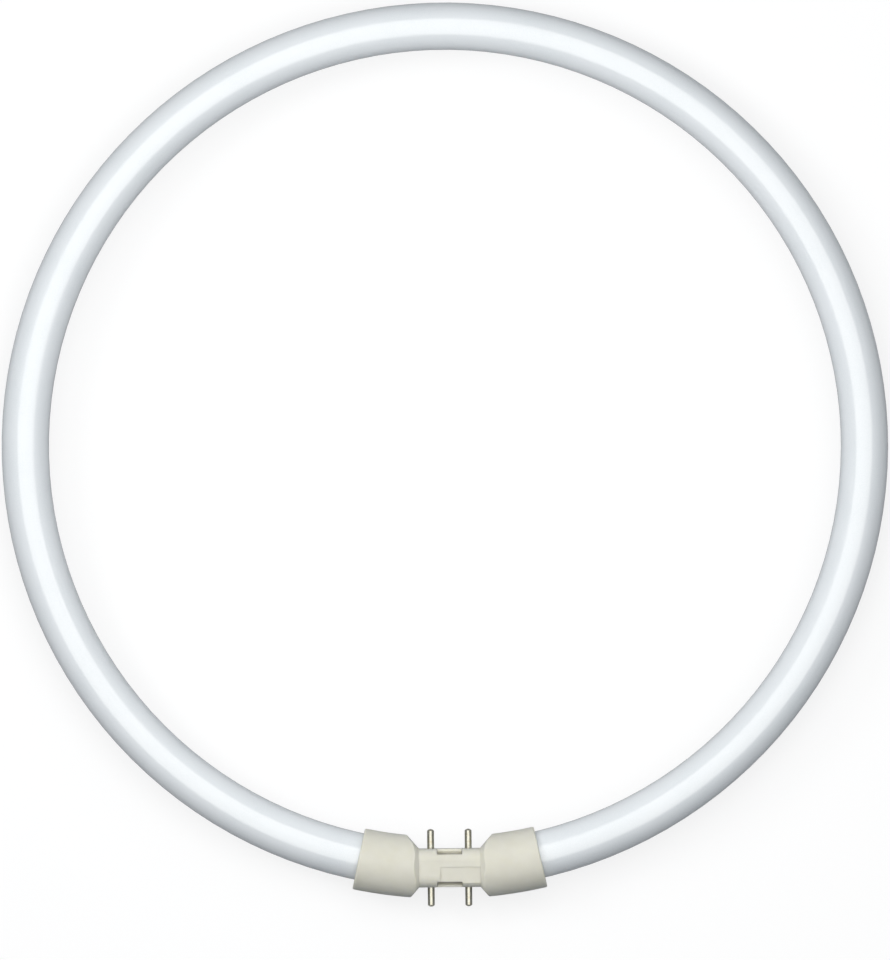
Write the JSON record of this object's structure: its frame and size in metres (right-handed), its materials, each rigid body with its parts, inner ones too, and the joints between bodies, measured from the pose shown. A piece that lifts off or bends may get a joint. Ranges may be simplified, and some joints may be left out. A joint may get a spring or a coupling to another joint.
{
  "type": "circular fluorescent tube",
  "caption": "White glass tube bent into a ring, its ends joined by a moulded cap with contact pins facing inwards and outwards; a light source for ring-shaped luminaires.",
  "frame": {"origin": "middle of the ring, on the plane through the tube's centre line and the pins", "axes": "+Z along the ring's axis, out of the front of the cap; the cap is at -Y"},
  "size_m": [0.3, 0.3059, 0.021],
  "materials": {
    "coated_glass": "clear glass, coated white inside so that it can't be seen into",
    "cap_plastic": "cream moulded plastic, satin",
    "pin_metal": "nickel-plated brass",
    "lead_wire": "bare nickel-plated wire",
    "cement": "set basing cement, dull"
  },
  "bodies": {
    "root": {"glass_tube": "coated_glass", "cap_front_shell": "cap_plastic", "cap_back_shell": "cap_plastic", "pin_inner_left": "pin_metal", "pin_inner_right": "pin_metal", "pin_outer_left": "pin_metal", "pin_outer_right": "pin_metal", "lead_inner_left": "lead_wire", "lead_inner_right": "lead_wire", "lead_outer_left": "lead_wire", "lead_outer_right": "lead_wire", "cement_left": "cement", "cement_right": "cement"}
  },
  "joints": []
}
